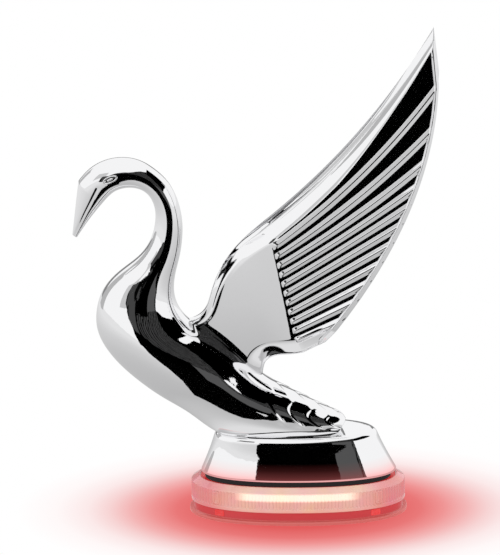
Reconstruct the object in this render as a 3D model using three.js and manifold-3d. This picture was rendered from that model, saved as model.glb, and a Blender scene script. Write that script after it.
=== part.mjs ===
// Chrome swan hood ornament on a lit oval base, as separate parts.
// Millimetres, +Z up. The beak points to -X, so the swan's left side faces -Y.
// The origin is the middle of the face that rests on the hood.
import * as THREE from "three";
import { mergeVertices } from "three/addons/utils/BufferGeometryUtils.js";
import Module from "manifold-3d";

const wasm = await Module();
wasm.setup();

// ---- Driving dimensions ----
const GAP = 0.3; // clearance kept between pieces that touch
const OUTLINE = { length: 38.1, width: 17.9, squareness: 2.3 }; // half sizes of the base's oval
const RING_TURNS = 56; // facets round the base's oval

const PAD = { inset: 2.7, top: 1.3 };
const TRAY = {
  flangeBottom: 0.3,
  flangeTop: 1.6,
  floorTop: 3.0,
  riserInset: 1.5,
  riserTop: 4.5,
  wall: 1.8,
  chamfer: 0.3,
};
const LENS = {
  inset: 0.6,
  bottom: 4.8,
  shoulder: 11.7,
  top: 13.4,
  wall: 1.9,
  lipInset: 3.7,
  lipWidth: 0.4,
  lipSlope: 0.2,
  deckTop: 12.4,
  deckBottom: 10.9,
  deckOpening: 7.5,
  fillet: 0.6,
};
const BOARD = { bottom: 4.8, top: 6.4, outer: 4.6, inner: 10.6 };
const PARTS_INSET = 7.2; // line that the board's parts stand on
const LED = { count: 12, length: 2.8, width: 2.2, height: 1.1 };
const RESISTOR = { count: 3, length: 2.0, width: 1.25, height: 0.6, from: 0.36, pitch: 0.14 }; // half turns
const DIODE = { length: 3.0, width: 1.6, height: 1.0, angle: -Math.PI / 2 };

const FOOT = {
  bottom: 15.2,
  top: 30.2,
  bottomShift: 0.3,
  topShift: -0.6,
  bottomHalf: [34.2, 14.1],
  topHalf: [27.9, 11.5],
  edge: 1.6,
  wall: 2.6,
  roof: 3.2,
  sideHollow: 0.25, // how far the flank bows inwards
};
const THROAT = { half: [9, 5.5], x: -3, bottom: 20.2, top: 40 }; // joins the foot's hollow to the body's
const GASKET = { half: [32.6, 12.7], wall: 3.2 };

const BOLT_X = [-18, 18]; // the two hood bolts, on the long axis
const BOSS = { radius: 5.2, bottom: TRAY.floorTop + GAP, socketRadius: 4.3, socketDepth: 12.5 };
const INSERT = { radius: 4.0, bore: 3.0, length: 11.5, clearance: 0.2 };
const BOLT_HOLE = 3.6;
const WIRE = { x: -6.5, hole: 3.2, grommetBore: 1.6, grommetRim: 4.4, rimThickness: 0.8 };

const WALL = 2.8; // thickness of the swan's hollow casting
const WING = {
  face: 7.7,
  thickness: 2.4,
  ribs: 11,
  ribHeight: 0.8,
  edgeRound: 2.2,
  rim: 1.3,
  minEdge: 0.1,
};
const PEG = { radius: 1.5, length: 15, below: 1.5, nutRadius: 3.0, nutThickness: 0.7, facets: 12 };
const PEG_HOLE = { bottom: 40, top: 75 };

// The swan's side view from beak tip to tail: [top x, top z, underside x, underside z, half width].
const SWAN = [
  [-77.1, 102.8, -75.5, 101.8, 0.9],
  [-76.3, 109.0, -72.4, 106.5, 2.0],
  [-75.4, 116.0, -69.0, 111.1, 3.1],
  [-74.5, 122.5, -66.3, 114.4, 4.0],
  [-70.2, 127.1, -63.7, 117.3, 4.6],
  [-65.2, 129.8, -61.4, 119.0, 4.9],
  [-59.4, 130.8, -58.6, 119.9, 4.9],
  [-53.6, 129.8, -55.6, 120.0, 4.8],
  [-48.0, 126.4, -52.2, 118.9, 4.7],
  [-43.6, 121.9, -49.9, 116.6, 4.6],
  [-40.6, 116.0, -48.5, 113.3, 4.5],
  [-39.0, 109.0, -48.1, 109.0, 4.6],
  [-38.9, 102.0, -49.5, 102.0, 4.9],
  [-39.9, 95.0, -54.0, 94.8, 5.7],
  [-41.5, 88.5, -61.2, 88.8, 7.2],
  [-42.2, 82.0, -66.9, 82.2, 9.0],
  [-40.6, 75.5, -69.4, 74.0, 10.9],
  [-36.8, 70.6, -68.8, 66.4, 12.6],
  [-31.8, 67.6, -64.1, 58.1, 13.8],
  [-26.0, 63.8, -56.8, 50.6, 14.4],
  [-19.6, 58.2, -47.8, 43.6, 14.2],
  [-13.2, 51.5, -38.6, 37.6, 13.2],
  [-4.9, 46.0, -30.0, 30.8, 11.8],
  [3.3, 41.7, -20.0, 26.6, 10.0],
  [10.2, 38.2, -8.0, 25.6, 8.2],
  [15.5, 35.6, 4.0, 26.0, 6.4],
  [17.0, 33.8, 12.6, 27.2, 4.4],
];
const SWAN_TURNS = 24;
const SWAN_STEPS = 52;
const HOLLOW = { from: 16.2, to: 24.6, turns: 16, steps: 14 }; // stations that the hollow runs between

// The wing's side view. Lengths are x, z.
const WING_TIP = [48.9, 175.4];
const WING_LOWER_CORNER = [10.2, 64.6];
const TRAILING = { x: 50.7, z: 164, bend: 0.00408 }; // parabola x = x - bend (z - z)^2
const RIB_STARTS = { first: [-6.6, 101.0], last: [0.2, 66.5] };
const RIB_ENDS = { last: 74.9, pitch: 7.0, even: 7, spread: 1.6 };
const PANEL_START = [-10.8, 105.6];
const HEEL_START = [2.6, 60.7];
const LEADING_SAG = { depth: 4.2, lines: 7 }; // the bow of the first lines, which dies out over seven
const ROOT_FRONT = [
  [-38.8, 70.6],
  [-35.8, 71.1],
  [-32.2, 73.6],
  [-29.6, 79.8],
  [-26.2, 88.6],
  [-20.4, 97.0],
  PANEL_START,
];
const ROOT_REAR = [[-14.0, 46.5], [-11.9, 51.0], [-10.7, 55.4], [-7.6, 58.2], [-2.6, 59.6], HEEL_START];
const ROOT_LINE = [ROOT_FRONT[0], [-35.0, 66.0], [-27.5, 60.0], [-20.0, 54.0], ROOT_REAR[0]];
// How far the crest of the leading edge stands from the middle plane, against height.
const CREST = [
  [60, 2.4],
  [92, 2.4],
  [106, 4.6],
  [125, 5.0],
  [175, 6.5],
];
const WING_PEGS = [
  [-28.5, -6.0],
  [-21.0, -5.6],
];
const NUT_Z = [51.8, 46.4];

// ---- Materials ----
function material(color, roughness, metalness, opacity = 1) {
  return new THREE.MeshStandardMaterial({
    color,
    roughness,
    metalness,
    opacity,
    transparent: opacity < 1,
  });
}

const CHROME = material(0xe6e8ea, 0.05, 1);
const BLACK_RUBBER = material(0x111112, 0.8, 0);
const CLEAR_PLASTIC = material(0xf2b7b0, 0.08, 0, 0.6);
const BOARD_GREEN = material(0x1d5a35, 0.5, 0);
const LED_WHITE = material(0xf4efe4, 0.4, 0);
const PART_BLACK = material(0x1a1a1c, 0.45, 0);
const BRASS = material(0xb99345, 0.3, 1);
const SPRING_STEEL = material(0x8e9296, 0.35, 1);

// ---- Solids ----
function toSolid(geometry) {
  const bare = geometry.clone();
  bare.deleteAttribute("normal");
  bare.deleteAttribute("uv");
  const merged = mergeVertices(bare, 1e-4);
  return new wasm.Manifold(
    new wasm.Mesh({
      numProp: 3,
      vertProperties: new Float32Array(merged.attributes.position.array),
      triVerts: new Uint32Array(merged.index.array),
    }),
  );
}

function toGeometry(solid) {
  const mesh = solid.getMesh();
  const geometry = new THREE.BufferGeometry();
  geometry.setAttribute("position", new THREE.BufferAttribute(new Float32Array(mesh.vertProperties), 3));
  geometry.setIndex(new THREE.BufferAttribute(new Uint32Array(mesh.triVerts), 1));
  geometry.computeVertexNormals();
  return geometry;
}

function cylinder(radius, bottom, top, x = 0, y = 0, facets = 24) {
  const geometry = new THREE.CylinderGeometry(radius, radius, top - bottom, facets);
  geometry.rotateX(Math.PI / 2);
  geometry.translate(x, y, (bottom + top) / 2);
  return toSolid(geometry);
}

function tube(outer, bore, bottom, top, x, y, facets = 24) {
  return cylinder(outer, bottom, top, x, y, facets).subtract(
    cylinder(bore, bottom - 1, top + 1, x, y, facets),
  );
}

// A point of the base's oval, drawn in by inset, in the direction of angle.
function ovalPoint(halfX, halfY, angle) {
  const power = 2 / OUTLINE.squareness;
  const c = Math.cos(angle);
  const s = Math.sin(angle);
  return new THREE.Vector2(
    halfX * Math.sign(c) * Math.abs(c) ** power,
    halfY * Math.sign(s) * Math.abs(s) ** power,
  );
}

function insetPoint(inset, angle) {
  return ovalPoint(OUTLINE.length - inset, OUTLINE.width - inset, angle);
}

// A ring that follows the base's oval. The profile lists [inset, z] and closes on itself.
function ovalRing(profile) {
  const reference = OUTLINE.length;
  const outline = [...profile, profile[0]].map(([inset, z]) => new THREE.Vector2(reference - inset, z));
  const geometry = new THREE.LatheGeometry(outline, RING_TURNS);
  geometry.rotateX(Math.PI / 2);
  const place = geometry.attributes.position;
  for (let i = 0; i < place.count; i++) {
    const x = place.getX(i);
    const y = place.getY(i);
    const on = insetPoint(reference - Math.hypot(x, y), Math.atan2(y, x));
    place.setXY(i, on.x, on.y);
  }
  return toSolid(geometry);
}

// A flat oval plate between two heights.
function ovalPlate(halfX, halfY, bottom, top, shift = 0) {
  const shape = new THREE.Shape();
  for (let i = 0; i < RING_TURNS; i++) {
    const on = ovalPoint(halfX, halfY, (i * 2 * Math.PI) / RING_TURNS);
    if (i === 0) shape.moveTo(on.x, on.y);
    else shape.lineTo(on.x, on.y);
  }
  const geometry = new THREE.ExtrudeGeometry(shape, { depth: top - bottom, bevelEnabled: false });
  geometry.translate(shift, 0, bottom);
  return toSolid(geometry);
}

function insetPlate(inset, bottom, top) {
  return ovalPlate(OUTLINE.length - inset, OUTLINE.width - inset, bottom, top);
}

// A closed loft: place(t, angle, r) puts the cylinder's point at height t, from 0 to 1.
function loft(place, turns, steps) {
  const geometry = new THREE.CylinderGeometry(1, 1, 1, turns, steps);
  const points = geometry.attributes.position;
  for (let i = 0; i < points.count; i++) {
    const x = points.getX(i);
    const z = points.getZ(i);
    const put = place(points.getY(i) + 0.5, Math.atan2(z, x), Math.hypot(x, z));
    points.setXYZ(i, put.x, put.y, put.z);
  }
  const solid = toSolid(geometry);
  if (solid.volume() > 0) return solid;
  geometry.index.array.reverse();
  return toSolid(geometry);
}

// ---- Swan body ----
const TOP_LINE = new THREE.CatmullRomCurve3(SWAN.map((s) => new THREE.Vector3(s[0], 0, s[1])));
const UNDER_LINE = new THREE.CatmullRomCurve3(SWAN.map((s) => new THREE.Vector3(s[2], s[4], s[3])));

// The swan's loft between two stations, grown outwards by some millimetres.
function swanLoft(grow, from, to, turns, steps) {
  const last = SWAN.length - 1;
  return loft(
    (t, angle, r) => {
      const along = (from + (to - from) * t) / last;
      const top = TOP_LINE.getPoint(along);
      const under = UNDER_LINE.getPoint(along);
      const halfWidth = under.y + grow;
      under.y = 0;
      const middle = top.clone().add(under).multiplyScalar(0.5);
      const up = top.sub(middle);
      up.setLength(up.length() + grow);
      middle.addScaledVector(up, r * Math.cos(angle));
      middle.y = r * halfWidth * Math.sin(angle);
      return middle;
    },
    turns,
    steps,
  );
}

// The flared oval foot: its half sizes shrink from the bottom to the top with a slight hollow.
function footLoft(inset, bottom, top, edge) {
  const rise = FOOT.top - FOOT.bottom;
  const place = (t, angle, r) => {
    const z = bottom + (top - bottom) * t;
    const up = (z - FOOT.bottom) / rise;
    const hollow = FOOT.sideHollow * Math.sin(Math.PI * Math.min(Math.max(up, 0), 1));
    const rounding = edge * (1 - Math.sqrt(1 - Math.max(0, (z - top + edge) / Math.max(edge, 0.01)) ** 2));
    const half = [0, 1].map(
      (i) => FOOT.bottomHalf[i] + (FOOT.topHalf[i] - FOOT.bottomHalf[i]) * up - hollow - inset - rounding,
    );
    const on = ovalPoint(half[0] * r, half[1] * r, angle);
    const shift = FOOT.bottomShift + (FOOT.topShift - FOOT.bottomShift) * up;
    return new THREE.Vector3(on.x + shift, on.y, z);
  };
  return loft(place, RING_TURNS, 8);
}

function swanHollow() {
  const throat = ovalPlate(...THROAT.half, THROAT.bottom, THROAT.top, THROAT.x);
  return swanLoft(-WALL, HOLLOW.from, HOLLOW.to, HOLLOW.turns, HOLLOW.steps)
    .add(throat)
    .add(footLoft(FOOT.wall, FOOT.bottom - 1, FOOT.top - FOOT.roof, 0));
}

function makeSwanBody() {
  let body = swanLoft(0, 0, SWAN.length - 1, SWAN_TURNS, SWAN_STEPS);
  body = body.add(footLoft(0, FOOT.bottom, FOOT.top, FOOT.edge)).subtract(swanHollow());
  for (const x of BOLT_X) {
    body = body.add(cylinder(BOSS.radius, BOSS.bottom, FOOT.top - 1, x));
    body = body.subtract(cylinder(BOSS.socketRadius, BOSS.bottom - 1, BOSS.bottom + BOSS.socketDepth, x));
  }
  for (const side of [-1, 1]) {
    for (const [x, y] of WING_PEGS) {
      const { bottom, top } = PEG_HOLE;
      body = body.subtract(cylinder(PEG.radius + GAP, bottom, top, x, -side * y, PEG.facets));
    }
  }
  return body;
}

// ---- Wings ----
function smooth(from, to, value) {
  return THREE.MathUtils.smoothstep(value, from, to);
}

function curveThrough(points) {
  return new THREE.CatmullRomCurve3(points.map(([x, z]) => new THREE.Vector3(x, 0, z)));
}

function trailingX(z) {
  return TRAILING.x - TRAILING.bend * (z - TRAILING.z) ** 2;
}

// Line k of the wing: 0 is the leading edge, 1 to 11 are the ribs and 12 is the lower edge.
const LAST_LINE = WING.ribs + 1;

function lineStart(k) {
  const first = new THREE.Vector2(...RIB_STARTS.first);
  const last = new THREE.Vector2(...RIB_STARTS.last);
  if (k < 1) return new THREE.Vector2(...PANEL_START).lerp(first, k);
  if (k > WING.ribs) return last.lerp(new THREE.Vector2(...HEEL_START), k - WING.ribs);
  return first.lerp(last, (k - 1) / (WING.ribs - 1));
}

function lineEnd(k) {
  const steps = WING.ribs - k;
  const height = (m) => {
    const spread = RIB_ENDS.spread * Math.max(0, m - RIB_ENDS.even) ** 2;
    return RIB_ENDS.last + RIB_ENDS.pitch * m + spread;
  };
  let z = height(Math.min(steps, WING.ribs - 1));
  if (k < 1) z += (WING_TIP[1] - z) * (1 - k);
  if (k > WING.ribs) z = RIB_ENDS.last + (WING_LOWER_CORNER[1] - RIB_ENDS.last) * (k - WING.ribs);
  const end = new THREE.Vector2(trailingX(z), z);
  return k < 1 ? end.lerp(new THREE.Vector2(...WING_TIP), 1 - k) : end;
}

// A point of the feathered part, u from the rib starts to the trailing edge.
function featherPoint(u, k) {
  const start = lineStart(k);
  const chord = lineEnd(k).sub(start);
  const sag = 4 * u * (1 - u) * LEADING_SAG.depth * Math.max(0, 1 - k / LEADING_SAG.lines) ** 2;
  const across = new THREE.Vector2(chord.y, -chord.x).setLength(sag);
  return start.addScaledVector(chord, u).add(across);
}

const FRONT_CURVE = curveThrough(ROOT_FRONT);
const REAR_CURVE = curveThrough(ROOT_REAR);
const ROOT_CURVE = curveThrough(ROOT_LINE);

// A point of the smooth root, blended between its four edges.
function rootPoint(u, k) {
  const v = k / LAST_LINE;
  const flat = (point) => new THREE.Vector2(point.x, point.z);
  const front = flat(FRONT_CURVE.getPoint(u));
  const rear = flat(REAR_CURVE.getPoint(u));
  const low = flat(ROOT_CURVE.getPoint(v));
  const high = lineStart(k);
  const corners = [
    [flat(FRONT_CURVE.getPoint(0)), (1 - u) * (1 - v)],
    [flat(REAR_CURVE.getPoint(0)), (1 - u) * v],
    [lineStart(0), u * (1 - v)],
    [lineStart(LAST_LINE), u * v],
  ];
  const point = front.multiplyScalar(1 - v).addScaledVector(rear, v);
  point.addScaledVector(low, 1 - u).addScaledVector(high, u);
  for (const [corner, weight] of corners) point.addScaledVector(corner, -weight);
  return point;
}

const ROOT_STEPS = 6;
const FEATHER_STOPS = [0.03, 0.1, 0.22, 0.36, 0.5, 0.64, 0.78, 0.9, 0.97, 0.985, 1];
const LINE_STOPS = [0, 0.1, 0.25, 0.5, 0.75];
for (let k = 1; k <= WING.ribs; k += 0.5) LINE_STOPS.push(k);
LINE_STOPS.push(11.35, 11.7, 11.88, LAST_LINE);

function wingPoint(row, k) {
  if (row <= ROOT_STEPS) return rootPoint(row / ROOT_STEPS, k);
  return featherPoint(FEATHER_STOPS[row - ROOT_STEPS - 1], k);
}

const LAST_ROW = ROOT_STEPS + FEATHER_STOPS.length;

function edgePoints(countAlong, pointAt) {
  return Array.from({ length: countAlong + 1 }, (_, i) => pointAt(i / countAlong));
}

const LEADING_EDGE = [
  ...edgePoints(40, (t) => rootPoint(t, 0)),
  ...edgePoints(60, (t) => featherPoint(t, 0)),
];
const REAR_EDGE = [
  ...edgePoints(30, (t) => rootPoint(t, LAST_LINE)),
  ...edgePoints(10, (t) => featherPoint(t, LAST_LINE)),
  ...edgePoints(120, (t) => featherPoint(1, LAST_LINE * t)),
];

function nearest(edge, point) {
  return Math.min(...edge.map((on) => on.distanceTo(point)));
}

function crestAt(z) {
  const above = CREST.findIndex(([height]) => height >= z);
  if (above <= 0) return CREST[above === 0 ? 0 : CREST.length - 1][1];
  const [low, high] = [CREST[above - 1], CREST[above]];
  return low[1] + (high[1] - low[1]) * smooth(low[0], high[0], z);
}

// The two faces' distances from the middle plane at one point of the wing.
function wingFaces(row, k, point) {
  const inner = WING.face - WING.thickness;
  const middle = WING.face - WING.thickness / 2;
  const fromLeading = nearest(LEADING_EDGE, point);
  const fromRear = nearest(REAR_EDGE, point);
  const byLeading = fromLeading < fromRear;
  const crest = byLeading ? crestAt(point.y) : middle;
  const near = Math.min(1, Math.min(fromLeading, fromRear) / WING.edgeRound);
  const round = Math.sqrt(1 - (1 - near) ** 2);
  let outer = crest + (WING.face - crest) * round;
  if (row > ROOT_STEPS && k >= 1 && k <= WING.ribs) {
    const onRib = Math.abs(k - Math.round(k)) < 0.01 ? 1 : 0;
    const onRim = fromRear < WING.rim ? 1 : 0;
    outer += WING.ribHeight * Math.max(onRib, onRim) * round;
  }
  return [crest + (inner - crest) * round, outer];
}

// A wing plate: a box of two skins whose grid is moved on to the wing's lines.
function wingPlate(side) {
  const rows = LAST_ROW;
  const lines = LINE_STOPS.length - 1;
  const geometry = new THREE.BoxGeometry(rows, lines, 1, rows, lines, 1);
  const place = geometry.attributes.position;
  for (let i = 0; i < place.count; i++) {
    const row = Math.round(place.getX(i) + rows / 2);
    const k = LINE_STOPS[Math.round(place.getY(i) + lines / 2)];
    const point = wingPoint(row, k);
    const border = row === 0 || row === rows || k === 0 || k === LAST_LINE;
    const [inner, outer] = wingFaces(row, k, point);
    const thin = border ? WING.minEdge / 2 : 0;
    const y = place.getZ(i) > 0 ? outer + thin : inner - thin;
    place.setXYZ(i, point.x, side * y, point.y);
  }
  const solid = toSolid(geometry);
  if (solid.volume() > 0) return solid;
  geometry.index.array.reverse();
  return toSolid(geometry);
}

function makeWing(side) {
  let wing = wingPlate(side);
  wing = wing.subtract(swanLoft(GAP, 10, SWAN.length - 1, SWAN_TURNS, SWAN_STEPS));
  WING_PEGS.forEach(([x, y], i) => {
    const bottom = NUT_Z[i] - PEG.below;
    wing = wing.add(cylinder(PEG.radius, bottom, bottom + PEG.length, x, -side * y, PEG.facets));
  });
  return wing;
}

function makePushNut(side, i) {
  const [x, y] = WING_PEGS[i];
  const top = NUT_Z[i] + PEG.nutThickness;
  return tube(PEG.nutRadius, PEG.radius + GAP, NUT_Z[i], top, x, -side * y, PEG.facets);
}

// ---- Light base ----
function makeLensRing() {
  const { inset, bottom, shoulder, top, wall, lipInset, lipWidth, lipSlope } = LENS;
  const { deckTop, deckBottom, deckOpening, fillet } = LENS;
  return ovalRing([
    [inset, bottom],
    [inset, shoulder],
    [lipInset - lipWidth, top],
    [lipInset, top],
    [lipInset + lipSlope, deckTop],
    [deckOpening, deckTop],
    [deckOpening, deckBottom],
    [inset + wall + fillet, deckBottom],
    [inset + wall, deckBottom - fillet],
    [inset + wall, bottom],
  ]);
}

function makeBaseTray() {
  const { flangeBottom, flangeTop, floorTop, riserInset, riserTop, wall, chamfer } = TRAY;
  let tray = ovalRing([
    [0, flangeBottom + chamfer],
    [0, flangeTop - chamfer],
    [chamfer, flangeTop],
    [riserInset, flangeTop],
    [riserInset, riserTop],
    [riserInset + wall, riserTop],
    [riserInset + wall, flangeBottom],
    [chamfer, flangeBottom],
  ]);
  tray = tray.add(insetPlate(riserInset + wall - chamfer, flangeTop, floorTop));
  tray = tray.subtract(insetPlate(PAD.inset - GAP, flangeBottom - 1, flangeTop));
  for (const x of BOLT_X) tray = tray.subtract(cylinder(BOLT_HOLE, 0, 8, x));
  return tray.subtract(cylinder(WIRE.hole, 0, 8, WIRE.x));
}

function makeMountingPad() {
  let pad = insetPlate(PAD.inset, 0, PAD.top);
  for (const x of BOLT_X) pad = pad.subtract(cylinder(BOLT_HOLE, -1, 5, x));
  return pad.subtract(cylinder(WIRE.grommetRim + GAP, -1, 5, WIRE.x));
}

function makeWireGrommet() {
  const { x, hole, grommetBore, grommetRim, rimThickness } = WIRE;
  const lowRim = TRAY.flangeTop - GAP - rimThickness;
  const highRim = TRAY.floorTop + GAP;
  return cylinder(grommetRim, lowRim, lowRim + rimThickness, x)
    .add(cylinder(hole - GAP, lowRim, highRim + rimThickness, x))
    .add(cylinder(grommetRim, highRim, highRim + rimThickness, x))
    .subtract(cylinder(grommetBore, -1, 8, x));
}

function makeCircuitBoard() {
  const { bottom, top, outer, inner } = BOARD;
  return ovalRing([
    [outer, bottom],
    [outer, top],
    [inner, top],
    [inner, bottom],
  ]);
}

function makeFootGasket() {
  const bottom = LENS.deckTop + GAP;
  const top = FOOT.bottom - GAP;
  const [x, y] = GASKET.half;
  return ovalPlate(x, y, bottom, top).subtract(
    ovalPlate(x - GASKET.wall, y - GASKET.wall, bottom - 1, top + 1),
  );
}

function makeInsert(x) {
  const bottom = BOSS.bottom + INSERT.clearance;
  return tube(INSERT.radius, INSERT.bore, bottom, bottom + INSERT.length, x, 0);
}

// A small block on the circuit board, turned to face outwards.
function boardBlock({ length, width, height }, angle) {
  const geometry = new THREE.BoxGeometry(length, width, height);
  const on = insetPoint(PARTS_INSET, angle);
  const ahead = insetPoint(PARTS_INSET, angle + 0.05).sub(on);
  geometry.rotateZ(Math.atan2(ahead.y, ahead.x));
  geometry.translate(on.x, on.y, BOARD.top + GAP / 3 + height / 2);
  return toSolid(geometry);
}

// ---- Assembly ----
const ornament = new THREE.Group();
ornament.name = "swan_hood_ornament";

function add(parent, name, solid, look) {
  const mesh = new THREE.Mesh(toGeometry(solid), look.clone());
  mesh.name = name;
  parent.add(mesh);
}

const swan = new THREE.Group();
add(swan, "swan_body", makeSwanBody(), CHROME);
for (const [name, side] of [["left", -1], ["right", 1]]) {
  add(swan, `${name}_wing`, makeWing(side), CHROME);
  ["front", "rear"].forEach((end, i) => {
    add(swan, `${name}_wing_push_nut_${end}`, makePushNut(side, i), SPRING_STEEL);
  });
}
add(swan, "threaded_insert_front", makeInsert(BOLT_X[0]), BRASS);
add(swan, "threaded_insert_rear", makeInsert(BOLT_X[1]), BRASS);

const lightBase = new THREE.Group();
add(lightBase, "foot_gasket", makeFootGasket(), BLACK_RUBBER);
add(lightBase, "lens_ring", makeLensRing(), CLEAR_PLASTIC);
add(lightBase, "base_tray", makeBaseTray(), CLEAR_PLASTIC);
add(lightBase, "mounting_pad", makeMountingPad(), BLACK_RUBBER);
add(lightBase, "wire_grommet", makeWireGrommet(), BLACK_RUBBER);
add(lightBase, "circuit_board", makeCircuitBoard(), BOARD_GREEN);
for (let i = 0; i < LED.count; i++) {
  const angle = ((i + 0.5) * 2 * Math.PI) / LED.count;
  const block = boardBlock(LED, angle);
  add(lightBase, `led_${String(i + 1).padStart(2, "0")}`, block, LED_WHITE);
}
for (let i = 0; i < RESISTOR.count; i++) {
  const block = boardBlock(RESISTOR, Math.PI * (RESISTOR.from + RESISTOR.pitch * i));
  add(lightBase, `resistor_${i + 1}`, block, PART_BLACK);
}
add(lightBase, "polarity_diode", boardBlock(DIODE, DIODE.angle), PART_BLACK);

ornament.add(swan, lightBase);
export default ornament;
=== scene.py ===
"""Looks of the swan hood ornament: chrome castings on a lit oval base.

The scene is in metres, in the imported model's frame. Shapes are worked out in millimetres.
"""

import math

import bpy
import numpy as np
from mathutils import Matrix, Vector


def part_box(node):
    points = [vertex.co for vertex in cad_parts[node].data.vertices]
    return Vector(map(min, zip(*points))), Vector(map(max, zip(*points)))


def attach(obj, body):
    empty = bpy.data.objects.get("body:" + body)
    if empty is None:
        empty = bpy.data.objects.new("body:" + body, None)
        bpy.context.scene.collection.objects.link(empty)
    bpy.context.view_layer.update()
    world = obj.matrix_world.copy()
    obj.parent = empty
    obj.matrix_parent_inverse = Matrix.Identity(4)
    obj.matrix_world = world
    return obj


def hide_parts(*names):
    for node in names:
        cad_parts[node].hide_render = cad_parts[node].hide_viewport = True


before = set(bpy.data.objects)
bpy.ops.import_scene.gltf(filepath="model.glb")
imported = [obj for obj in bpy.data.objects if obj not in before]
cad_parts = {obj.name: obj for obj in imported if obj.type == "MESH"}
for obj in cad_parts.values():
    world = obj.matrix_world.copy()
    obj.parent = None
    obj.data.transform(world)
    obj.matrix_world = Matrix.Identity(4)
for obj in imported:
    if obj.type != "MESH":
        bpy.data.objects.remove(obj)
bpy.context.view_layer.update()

MM = 0.001
BODY = "root"


# ---------------- camera
ELEVATION, YAW, ROLL = math.radians(20), math.radians(2), math.radians(1)
CAMERA_TARGET = Vector((-0.01565, 0.0, 0.08645))
CAMERA_DISTANCE, CAMERA_LENS = 2.471, 460.7


def make_camera():
    """A long lens a little above the ornament, turned slightly towards the tail."""
    back = Vector((
        math.sin(YAW) * math.cos(ELEVATION),
        -math.cos(YAW) * math.cos(ELEVATION),
        math.sin(ELEVATION),
    ))
    side = Vector((math.cos(YAW), math.sin(YAW), 0.0))
    up = back.cross(side)
    right = side * math.cos(ROLL) - up * math.sin(ROLL)
    up = side * math.sin(ROLL) + up * math.cos(ROLL)
    data = bpy.data.cameras.new("camera")
    data.lens = CAMERA_LENS
    data.clip_end = 20
    camera = bpy.data.objects.new("camera", data)
    bpy.context.scene.collection.objects.link(camera)
    turn = Matrix((right, up, back)).transposed().to_4x4()
    camera.matrix_world = Matrix.Translation(CAMERA_TARGET + back * CAMERA_DISTANCE) @ turn
    bpy.context.scene.camera = camera


# ---------------- numbers and curves
def smooth_step(low, high, value):
    """0 at low, 1 at high, eased at both ends; low may be the larger of the two."""
    x = np.clip((value - low) / (high - low), 0, 1)
    return x * x * (3 - 2 * x)


class Spline:
    """A natural cubic through points, smooth to the second derivative."""

    def __init__(self, knots, values):
        self.knots = np.asarray(knots, float)
        self.values = np.asarray(values, float).reshape(len(self.knots), -1)
        n = len(self.knots)
        step = np.diff(self.knots)
        slope = np.diff(self.values, axis=0) / step[:, None]
        matrix = np.eye(n)
        right = np.zeros_like(self.values)
        for i in range(1, n - 1):
            matrix[i, i - 1 : i + 2] = step[i - 1], 2 * (step[i - 1] + step[i]), step[i]
            right[i] = 6 * (slope[i] - slope[i - 1])
        self.bend = np.linalg.solve(matrix, right)

    def __call__(self, at):
        at = np.clip(np.asarray(at, float), self.knots[0], self.knots[-1])
        i = np.clip(np.searchsorted(self.knots, at, side="right") - 1, 0, len(self.knots) - 2)
        h = (self.knots[i + 1] - self.knots[i])[..., None]
        a = (self.knots[i + 1] - at)[..., None] / h
        b = 1 - a
        curved = ((a**3 - a) * self.bend[i] + (b**3 - b) * self.bend[i + 1]) * h**2 / 6
        return a * self.values[i] + b * self.values[i + 1] + curved


def spline_through(points):
    """A natural cubic whose parameter runs from 0 to 1 with the length between points."""
    points = np.asarray(points, float)
    knots = np.concatenate([[0], np.cumsum(np.linalg.norm(np.diff(points, axis=0), axis=1))])
    return Spline(knots / knots[-1], points)


def distance_to(points, line):
    """How far each 2-D point is from a line of short straight stretches."""
    flat = points.reshape(-1, 2)
    best = np.full(len(flat), 1e9)
    for a, b in zip(line[:-1], line[1:]):
        run = b - a
        share = np.clip(((flat - a) @ run) / max(run @ run, 1e-12), 0, 1)
        best = np.minimum(best, np.linalg.norm(flat - a - share[:, None] * run, axis=1))
    return best.reshape(points.shape[:-1])


# ---------------- meshes
def new_object(name, verts, faces, smooth=True):
    mesh = bpy.data.meshes.new(name)
    mesh.from_pydata([tuple(v) for v in verts], [], faces)
    mesh.validate()
    if smooth:
        mesh.shade_smooth()
    piece = bpy.data.objects.new(name, mesh)
    bpy.context.scene.collection.objects.link(piece)
    return piece


def grid_faces(rows, columns, wrap_rows=False, wrap_columns=True, offset=0):
    """Quads over rows and columns of points, numbered row by row from the offset."""
    faces = []
    for i in range(rows if wrap_rows else rows - 1):
        for j in range(columns if wrap_columns else columns - 1):
            a = i * columns + j
            b = i * columns + (j + 1) % columns
            c = (i + 1) % rows * columns + (j + 1) % columns
            d = (i + 1) % rows * columns + j
            faces.append((offset + a, offset + b, offset + c, offset + d))
    return faces


def capped_loft(name, rings):
    """A closed skin over rings of points, shape (rings, points, 3), closed by a fan at each end."""
    rows, columns, _ = rings.shape
    verts = np.concatenate([rings.reshape(-1, 3), rings[:1].mean(axis=1), rings[-1:].mean(axis=1)])
    faces = grid_faces(rows, columns)
    first, last = rows * columns, rows * columns + 1
    for j in range(columns):
        k = (j + 1) % columns
        faces.append((first, k, j))
        faces.append((last, (rows - 1) * columns + j, (rows - 1) * columns + k))
    return face_outwards(new_object(name, verts * MM, faces))


def ring_mesh(name, rings):
    """A closed skin whose rings join up end to end."""
    rows, columns, _ = rings.shape
    faces = grid_faces(rows, columns, wrap_rows=True)
    return face_outwards(new_object(name, rings.reshape(-1, 3) * MM, faces))


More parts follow.
